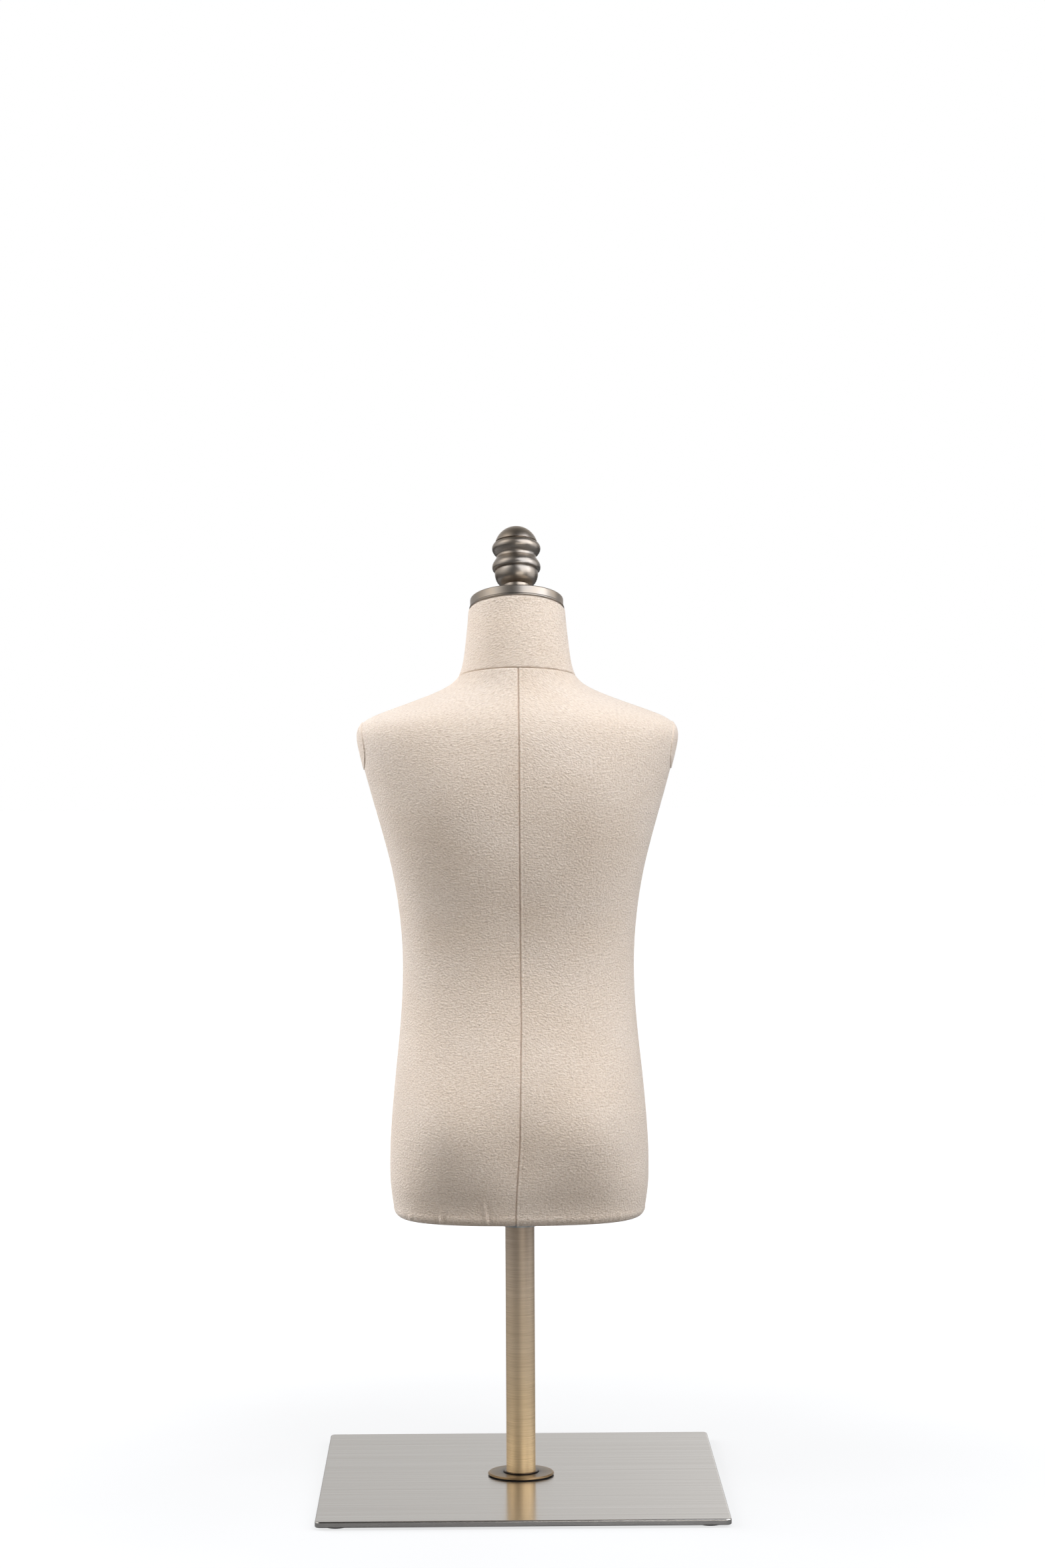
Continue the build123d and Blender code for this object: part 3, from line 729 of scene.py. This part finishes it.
def stitches(name, line, out, count, length, thick):
    """A row of short threads lying on the cloth along a line of points."""
    points, faces = [], []
    spans = line_lengths(line)
    chance = np.random.default_rng(7)
    ring = 6
    stations = 7
    for k in range(count):
        middle = (k + 0.5) / count * spans[-1]
        jitter = chance.normal(0, 0.1, 2) * MM
        reach = np.linspace(-length / 2, length / 2, stations)
        base = columns_at(middle + reach + jitter[0], spans, line)
        lift = columns_at(middle + reach, spans, out)
        arch = np.cos(reach / length * math.pi) ** 0.7
        along = np.gradient(base, axis=0)
        along /= np.linalg.norm(along, axis=1, keepdims=True)
        side = np.cross(along, lift)
        base = base + lift * ((arch - 0.55) * thick * 1.1)[:, None] + side * jitter[1]
        start = len(points)
        for s in range(stations):
            girth = thick / 2 * (0.35 + 0.65 * arch[s])
            for j in range(ring):
                turn = FULL_TURN * j / ring
                points.append(base[s] + (side[s] * math.cos(turn) + lift[s] * math.sin(turn)) * girth)
        faces += [[start + i for i in f] for f in grid_faces(stations, ring, closed=True).tolist()]
        faces.append([start + j for j in range(ring)][::-1])
        last = start + (stations - 1) * ring
        faces.append([last + j for j in range(ring)])
    made = add_mesh(name, points, faces, THREAD)
    return place(made, "torso", "linen")


# ------------------------------------------------------------------ the cover
BACK_STEP = 1.3 * MM
FRONT_STEP = 2.2 * MM


def build_cover():
    """Back panels and front panel, sewn at the sides, the centre back and the neck seam."""
    grid = CoverGrid(lambda a: np.full_like(a, TORSO.low), neck_seam_level, False, True)
    rows = len(grid.levels)
    seam = back_seam_angles(grid)
    left_side = np.full(rows, math.pi)
    right_side = np.full(rows, FULL_TURN)
    left = panel_grid(grid, left_side, seam, BACK_STEP)
    right = panel_grid(grid, seam, right_side, BACK_STEP)
    front = panel_grid(grid, np.zeros(rows), left_side, FRONT_STEP)
    panels = {
        "cover_back_left": cover_panel("linen_back_left", left, 3),
        "cover_back_right": cover_panel("linen_back_right", right, 4, ridged=True),
        "cover_front": cover_panel("linen_front", front, 5),
    }
    for node, panel in panels.items():
        place(panel, "torso", "linen", node)
    return left, right, front


left_grid, right_grid, front_grid = build_cover()


def stitch_line(panel, distance):
    """A line up a panel at a distance from its first column, with the outward direction."""
    across = run_lengths(panel, 1)
    normal = grid_normals(panel)
    rows = range(len(panel))
    line = np.concatenate([columns_at([distance], across[r], panel[r]) for r in rows])
    out = np.concatenate([columns_at([distance], across[r], normal[r]) for r in rows])
    return line, out / np.linalg.norm(out, axis=1, keepdims=True)


STITCH_COUNT = 142
STITCH_LENGTH = 1.7 * MM
STITCH_THICK = 0.42 * MM
STITCH_FROM_SEAM = 1.9 * MM
seam_line, seam_out = stitch_line(right_grid, STITCH_FROM_SEAM)
stitches("stitches_back", seam_line, seam_out, STITCH_COUNT, STITCH_LENGTH, STITCH_THICK)


NECK_STEP = 1.5 * MM
NECK_TURNS = 200


def neck_band():
    """The neck's cloth, from the neck seam to the cap."""
    grid = CoverGrid(neck_seam_level, cap_foot_level, True, False, NECK_STEP)
    angles = np.linspace(0, FULL_TURN, NECK_TURNS, endpoint=False)
    points = np.stack([grid.row_points(r, angles) for r in range(len(grid.levels))])
    normal = grid_normals(points, closed=True)
    up = run_lengths(points, 0)
    offset = undulation(points, 11, 0.3 * MM) + crease(up, depth=1.0)
    offset -= 1.2 * MM * bump_at((up[-1:] - up) / MM, 0, 0.8)
    points = points + normal * offset[..., None]
    ring = np.concatenate([points, points[:, :1]], axis=1)
    across = run_lengths(ring, 1)
    uvs = np.stack([across, np.concatenate([up, up[:, :1]], axis=1)], axis=-1).reshape(-1, 2)
    rows, columns = ring.shape[:2]
    return add_mesh("linen_neck", ring.reshape(-1, 3), grid_faces(rows, columns), LINEN, uvs)


neck_piece = place(neck_band(), "torso", "linen", "cover_neck")


# where the rays that lay an arm panel out start: x from the pole, y and z from the panel's middle
ARM_CORE = Vector((78, -3, -12)) * MM
ARM_TURNS = 84
ARM_ZONE = (0.28, 0.415)


def arm_panel(side, name):
    """The oval of cloth over the end of a shoulder, with a drawn-in edge."""
    low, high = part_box(f"cover_arm_{name}")
    half_y = (high.y - low.y) / 2
    half_z = (high.z - low.z) / 2
    reach = max(abs(low.x), abs(high.x)) - ARM_CORE.x
    middle = (low + high) / 2
    core = Vector((side * ARM_CORE.x, middle.y + ARM_CORE.y, middle.z + ARM_CORE.z))
    tree = BVHTree.FromPolygons(*cover_surface_mesh())
    shares = np.concatenate([np.linspace(0.05, 0.86, 14), [0.9, 0.93, 0.955, 0.975, 0.99, 1.0]])
    grid = np.zeros((len(shares), ARM_TURNS, 3))
    for i, share in enumerate(shares):
        for j in range(ARM_TURNS):
            turn = -side * FULL_TURN * j / ARM_TURNS
            across = 0.82 * half_y * share * math.cos(turn)
            up = half_z * (0.78 * share * math.sin(turn) + 0.38)
            aim = Vector((side * 0.75 * reach, across, up)).normalized()
            grid[i, j] = tree.ray_cast(core, aim)[0]
    normal = grid_normals(grid, closed=True)
    normal *= np.sign((normal @ np.array([side, 0, 0.3])).mean())
    inward = (1 - shares)[:, None] * half_y / MM
    offset = (0.7 * smooth_step(0, 1.3, inward) - 1.0 * bump_at(inward, 0, 0.45)) * MM
    points = grid + normal * offset[..., None]
    uvs = grid[..., 1:].reshape(-1, 2)
    centre = points[0].mean(axis=0)
    faces = grid_faces(len(shares), ARM_TURNS, closed=True).tolist()
    hub = len(shares) * ARM_TURNS
    faces += [[hub, (j + 1) % ARM_TURNS, j] for j in range(ARM_TURNS)]
    every = np.concatenate([points.reshape(-1, 3), centre[None]])
    uvs = np.concatenate([uvs, centre[None, 1:]])
    made = add_mesh(f"linen_arm_{name}", every, faces, LINEN, uvs)
    face_outwards(made, side)
    return made


def face_outwards(piece, side):
    """Turns a piece's faces so that they look away from the body's middle."""
    facing = sum(face.normal.x * side for face in piece.data.polygons)
    if facing < 0:
        piece.data.flip_normals()


def cover_surface_mesh():
    """The torso's surface over the arms' heights as one mesh, to lay the arm panels on."""
    levels = np.arange(HEM + ARM_ZONE[0], HEM + ARM_ZONE[1], 1.0 * MM)
    angles = np.linspace(0, FULL_TURN, TURNS, endpoint=False)
    grid = TORSO.points(levels[:, None] + 0 * angles, angles + 0 * levels[:, None])
    faces = grid_faces(len(levels), len(angles), closed=True)
    return [tuple(p) for p in grid.reshape(-1, 3)], faces.tolist()


for arm_side, arm_name in ((-1, "left"), (1, "right")):
    arm_piece = place(arm_panel(arm_side, arm_name), "torso", "linen", f"cover_arm_{arm_name}")


OVAL_HOLE = 16.0 * MM
OVAL_RINGS = 22
OVAL_GATHERS = 17
OVAL_LIFT = 0.35 * MM
OVAL_GATHER_HEIGHT = 0.25 * MM


def hem_oval():
    """The oval of cloth under the torso, gathered a little round the hole for the pole."""
    outline = with_hem(np.concatenate([left_grid, right_grid[:, 1:], front_grid[:, 1:]], axis=1))[0]
    angle = np.arctan2(outline[:, 1], outline[:, 0])
    ring = OVAL_HOLE * np.stack([np.cos(angle), np.sin(angle)], axis=1)
    hole = np.concatenate([ring, np.full((len(angle), 1), HEM)], axis=1)
    rows = []
    for t in np.linspace(0, 1, OVAL_RINGS):
        row = outline * (1 - t) + hole * t
        row[:, 2] = HEM + OVAL_LIFT + OVAL_GATHER_HEIGHT * np.sin(angle * OVAL_GATHERS) * t
        rows.append(row)
    grid = np.array(rows)
    uvs = grid[..., :2].reshape(-1, 2)
    return add_mesh("linen_oval", grid.reshape(-1, 3), grid_faces(OVAL_RINGS, len(outline)), LINEN, uvs)


oval_piece = place(hem_oval(), "torso", "linen", "bottom_cover")


# ------------------------------------------------------------------ turned metal on the neck
def smooth_curve(points, steps=8):
    """Points on a smooth curve through the given ones: a cubic run between each two."""
    points = np.array(points, float)
    chords = np.sqrt(np.linalg.norm(np.diff(points, axis=0), axis=1))
    knots = np.concatenate([[0], np.cumsum(chords)])
    slopes = np.gradient(points, knots, axis=0)
    made = []
    for i in range(len(points) - 1):
        span = knots[i + 1] - knots[i]
        for t in np.linspace(0, 1, steps, endpoint=False):
            leaving = (1 + 2 * t) * (1 - t) ** 2 * points[i] + t * (1 - t) ** 2 * span * slopes[i]
            coming = t * t * (3 - 2 * t) * points[i + 1] + t * t * (t - 1) * span * slopes[i + 1]
            made.append(leaving + coming)
    return np.array(made + [points[-1]])


def arc(centre, radius, start, end, steps=24):
    """Points of (radius from the axis, height) on a circular arc, angles in degrees."""
    angles = np.radians(np.linspace(start, end, steps))
    return np.stack([centre[0] + radius * np.cos(angles), centre[1] + radius * np.sin(angles)], axis=1)


def lathe(name, curves, origin, material, around=160):
    """Smooth bands turned round the cap's axis; two curves that meet keep a crisp edge."""
    turn = Vector((0, 0, 1)).rotation_difference(CAP_AXIS)
    axes = np.array(turn.to_matrix())
    angles = np.linspace(0, FULL_TURN, around, endpoint=False)
    points, faces = [], []
    for curve in curves:
        radius, height = (np.asarray(curve) * MM).T[:, :, None]
        parts = (radius * np.cos(angles), radius * np.sin(angles), height + 0 * angles)
        band = np.stack(parts, axis=-1) @ axes.T + np.array(origin)
        start = len(points)
        points += band.reshape(-1, 3).tolist()
        faces += (grid_faces(len(curve), around, closed=True) + start).tolist()
    return add_mesh(name, points, faces, material)


# the finial's outline: mm from its axis and mm above the cap
DOME_RADIUS = 16.3
DOME_CENTRE = 41.1
DOME_LOW = 45.2
DOME_FOOT = math.degrees(math.asin((DOME_LOW - DOME_CENTRE) / DOME_RADIUS))
DOME_TIP = 89.9
FERRULE = [(10.2, 0.0), (10.2, 10.4)]
BULB = [(10.2, 10.4), (12.6, 11.6), (14.6, 13.9), (15.9, 17.2), (16.3, 20.2), (16.0, 22.4)]
BEADS = [
    (16.0, 22.4),
    (17.5, 22.8),
    (18.2, 24.9),
    (17.9, 27.2),
    (16.4, 30.0),
    (15.0, 32.4),
    (15.1, 34.2),
    (16.7, 36.2),
    (18.0, 38.6),
    (18.2, 41.0),
    (17.0, 43.4),
    (14.9, 44.4),
    (14.7, 45.1),
]


def finial_piece():
    """Turned finial: ferrule, round bulb, two soft beads and a domed top."""
    dome = arc((0, DOME_CENTRE), DOME_RADIUS, DOME_FOOT, DOME_TIP, 40)
    groove = [BEADS[-1], tuple(dome[0])]
    curves = [FERRULE, smooth_curve(BULB), smooth_curve(BEADS), groove, dome]
    return lathe("finial_turned", curves, CAP_FOOT_CENTRE + CAP_AXIS * CAP_THICK, PEWTER)


# the cap's outline, in mm: its rim's setback from the lip, its edge's roundness, and the lip
RIM_BACK = 0.6
RIM_ROUND = 1.3
RIM_FOOT = 1.9
LIP_ROUND = 0.85
CAP_UPPER_HOLE = 9.0
CAP_UNDER_HOLE = 12.0


def cap_piece():
    """The neck cap: a soft upper edge, an upright rim and a thin rolled lip under it."""
    edge = CAP_DIA / 2 / MM - RIM_BACK
    thick = CAP_THICK / MM
    upper = [(CAP_UPPER_HOLE, thick), (edge - RIM_ROUND, thick)]
    corner = arc((edge - RIM_ROUND, thick - RIM_ROUND), RIM_ROUND, 90, 0, 10)
    rim = [(edge, thick - RIM_ROUND), (edge, RIM_FOOT)]
    lip = arc((edge - 0.15, LIP_ROUND), LIP_ROUND, 60, -80, 14)
    under = [(edge - 0.1, 0.0), (CAP_UNDER_HOLE, 0.0)]
    curves = [c[::-1] for c in (upper, corner, rim, lip, under)][::-1]
    return lathe("neck_cap_turned", curves, CAP_FOOT_CENTRE, PEWTER, 220)


place(finial_piece(), "torso", "pewter", "finial")
place(cap_piece(), "torso", "pewter", "neck_cap")


# ------------------------------------------------------------------ finishes of the CAD parts
FINISHES = {
    "base_plate": NICKEL,
    "pole_tube": BRASS,
    "pole_flange": AGED_BRASS_PAINTED_SHADE,
    "neck_cap": PEWTER,
    "finial": PEWTER,
    "swivel_washer": NYLON,
    "pole_top_cap": NYLON,
    "lock_knob": KNOB_PLASTIC,
    "lock_pad": WHITE_NYLON,
    "bottom_board": PLYWOOD,
    "neck_block": BEECH,
    "shell_front": GLASS_FIBRE,
    "shell_back": GLASS_FIBRE,
}
for node_name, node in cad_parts.items():
    finish = RUBBER if node_name.startswith("foot_") else FINISHES.get(node_name, STEEL)
    for material_slot in node.material_slots:
        material_slot.material = finish


# ------------------------------------------------------------------ floor, light and camera
FLOOR_TONE = 0.16
FLOOR_GLOW = 0.74
SKY_LOBES = {
    # direction, sharpness, strength
    "camera_side": ((0, -1, 0.15), 3, 0.16),
    "left": ((-1, 0, 0.15), 3, 0.95),
    "left_high": ((-0.9, -0.3, 0.75), 14, 1.9),
    "right": ((1, 0, 0.15), 3, 0.50),
    "behind": ((0, 1, 0.2), 3, 0.92),
    "behind_right": ((0.2, 1, 0.2), 120, 0.95),
    "above": ((0, 0, 1), 3, 0.05),
}
COOL = (0.96, 1.0, 1.07)
WARM = (1.03, 1.0, 0.95)
SOFTBOXES = {
    # azimuth, elevation, distance, width, height, power, colour, seen in the metal
    "overhead_front": (5, 66, 1.9, 1.7, 1.0, 18, COOL, False),
    "right_front": (52, 38, 1.9, 2.2, 2.0, 30, COOL, True),
    "front_low": (18, 1, 2.4, 1.5, 0.5, 5.5, WARM, True),
    "right_side": (88, 14, 1.9, 1.8, 1.8, 8, COOL, True),
    "left_rim": (-121, 8, 1.9, 0.9, 1.6, 30, COOL, False),
    "left_side": (-93, 22, 1.9, 1.5, 1.8, 12, COOL, False),
}


FLOOR_HALF = 12.0
GLOW_NEAR = 0.2
GLOW_FAR = 1.1
AIM = Vector((0, 0, 0.42))
CAMERA_PLACE = (-0.0277, -2.803, 0.6308)
CAMERA_TURN = (-0.642, 2.054, -0.288)
CAMERA_LENS = 85.5


def studio_floor():
    """A plain floor: grey for the light that it throws back, and glowing pale to the camera."""
    side = FLOOR_HALF
    mesh = bpy.data.meshes.new("studio_floor")
    corners = [(-side, -side, 0), (side, -side, 0), (side, side, 0), (-side, side, 0)]
    mesh.from_pydata(corners, [], [(0, 1, 2, 3)])
    floor = bpy.data.objects.new("studio_floor", mesh)
    bpy.context.scene.collection.objects.link(floor)
    n = Nodes("studio_floor")
    place_in = n.add("ShaderNodeTexCoord").outputs["Object"]
    dust = n.noise(n.mapped(place_in, (3, 3, 3)), detail=2)
    away = n.add("ShaderNodeVectorMath", operation="LENGTH")
    n.link(place_in, away.inputs[0])
    glow = n.add("ShaderNodeMapRange", interpolation_type="SMOOTHSTEP")
    n.link(away.outputs["Value"], glow.inputs["Value"])
    glow.inputs["From Min"].default_value = GLOW_NEAR
    glow.inputs["From Max"].default_value = GLOW_FAR
    glow.inputs["To Min"].default_value = FLOOR_GLOW
    glow.inputs["To Max"].default_value = 1.0
    path = n.add("ShaderNodeLightPath")
    seen = n.math("MULTIPLY", glow.outputs[0], path.outputs["Is Camera Ray"])
    pale, paler = (FLOOR_TONE,) * 3, (FLOOR_TONE + 0.02,) * 3
    n.set(Base_Color=n.ramp(dust, (0.3, pale), (0.7, paler)), Roughness=0.9, Specular_IOR_Level=0.0)
    n.set(Emission_Color=(1, 1, 1, 1), Emission_Strength=seen)
    mesh.materials.append(n.material)


def sky_math(tree, operation, source, second, name=None):
    """A maths node of the sky, with its first input linked and its second set."""
    node = tree.nodes.new("ShaderNodeMath")
    node.operation = operation
    node.inputs[1].default_value = second
    tree.links.new(source, node.inputs[0])
    if name:
        node.name = name
    return node


def studio_sky():
    """Soft light from all round, as a broad lobe for each direction; the camera sees plain white."""
    world = bpy.data.worlds.new("studio")
    bpy.context.scene.world = world
    world.use_nodes = True
    tree = world.node_tree
    tree.nodes.clear()
    where = tree.nodes.new("ShaderNodeTexCoord").outputs["Generated"]
    total = None
    for name, (direction, sharpness, strength) in SKY_LOBES.items():
        dot = tree.nodes.new("ShaderNodeVectorMath")
        dot.operation = "DOT_PRODUCT"
        dot.inputs[1].default_value = Vector(direction).normalized()
        tree.links.new(where, dot.inputs[0])
        positive = sky_math(tree, "MAXIMUM", dot.outputs["Value"], 0)
        lobe = sky_math(tree, "POWER", positive.outputs[0], sharpness)
        scaled = sky_math(tree, "MULTIPLY_ADD", lobe.outputs[0], strength, "sky_" + name)
        scaled.inputs[2].default_value = 0
        if total is not None:
            tree.links.new(total, scaled.inputs[2])
        total = scaled.outputs[0]
    lit = tree.nodes.new("ShaderNodeBackground")
    tree.links.new(total, lit.inputs["Strength"])
    seen = tree.nodes.new("ShaderNodeBackground")
    seen.inputs["Color"].default_value = (1, 1, 1, 1)
    path = tree.nodes.new("ShaderNodeLightPath")
    mix = tree.nodes.new("ShaderNodeMixShader")
    tree.links.new(path.outputs["Is Camera Ray"], mix.inputs[0])
    tree.links.new(lit.outputs[0], mix.inputs[1])
    tree.links.new(seen.outputs[0], mix.inputs[2])
    out = tree.nodes.new("ShaderNodeOutputWorld")
    tree.links.new(mix.outputs[0], out.inputs[0])


def soft_light(name, azimuth, elevation, distance, wide, high, power, colour, mirrored):
    """A rectangular softbox; azimuth 0 is the camera's side and 90 is its right."""
    turn = math.radians(azimuth)
    rise = math.radians(elevation)
    away = (math.sin(turn) * math.cos(rise), -math.cos(turn) * math.cos(rise), math.sin(rise))
    spot = AIM + distance * Vector(away)
    data = bpy.data.lights.new(name, "AREA")
    data.shape = "RECTANGLE"
    data.size = wide
    data.size_y = high
    data.energy = power
    data.color = colour
    light = bpy.data.objects.new(name, data)
    light.location = spot
    light.rotation_euler = (AIM - spot).to_track_quat("-Z", "Y").to_euler()
    light.visible_camera = False
    light.visible_glossy = mirrored
    bpy.context.scene.collection.objects.link(light)


def camera():
    """The camera's place and lens: level with the neck, just left of the middle."""
    yaw, pitch, roll = (math.radians(a) for a in CAMERA_TURN)
    level = Vector((-math.sin(yaw), math.cos(yaw), 0))
    ahead = level * math.cos(pitch) - Vector((0, 0, math.sin(pitch)))
    right = Vector((math.cos(yaw), math.sin(yaw), 0))
    up = right.cross(ahead)
    across = math.cos(roll) * right + math.sin(roll) * up
    upward = -math.sin(roll) * right + math.cos(roll) * up
    data = bpy.data.cameras.new("camera")
    data.lens = CAMERA_LENS
    data.sensor_width = 36
    made = bpy.data.objects.new("camera", data)
    turn = Matrix((across, upward, -ahead)).transposed()
    made.matrix_world = Matrix.Translation(CAMERA_PLACE) @ turn.to_4x4()
    bpy.context.scene.collection.objects.link(made)
    bpy.context.scene.camera = made


studio_floor()
studio_sky()
for light_name, setting in SOFTBOXES.items():
    soft_light(light_name, *setting)
camera()
bpy.context.scene.view_settings.view_transform = "Standard"
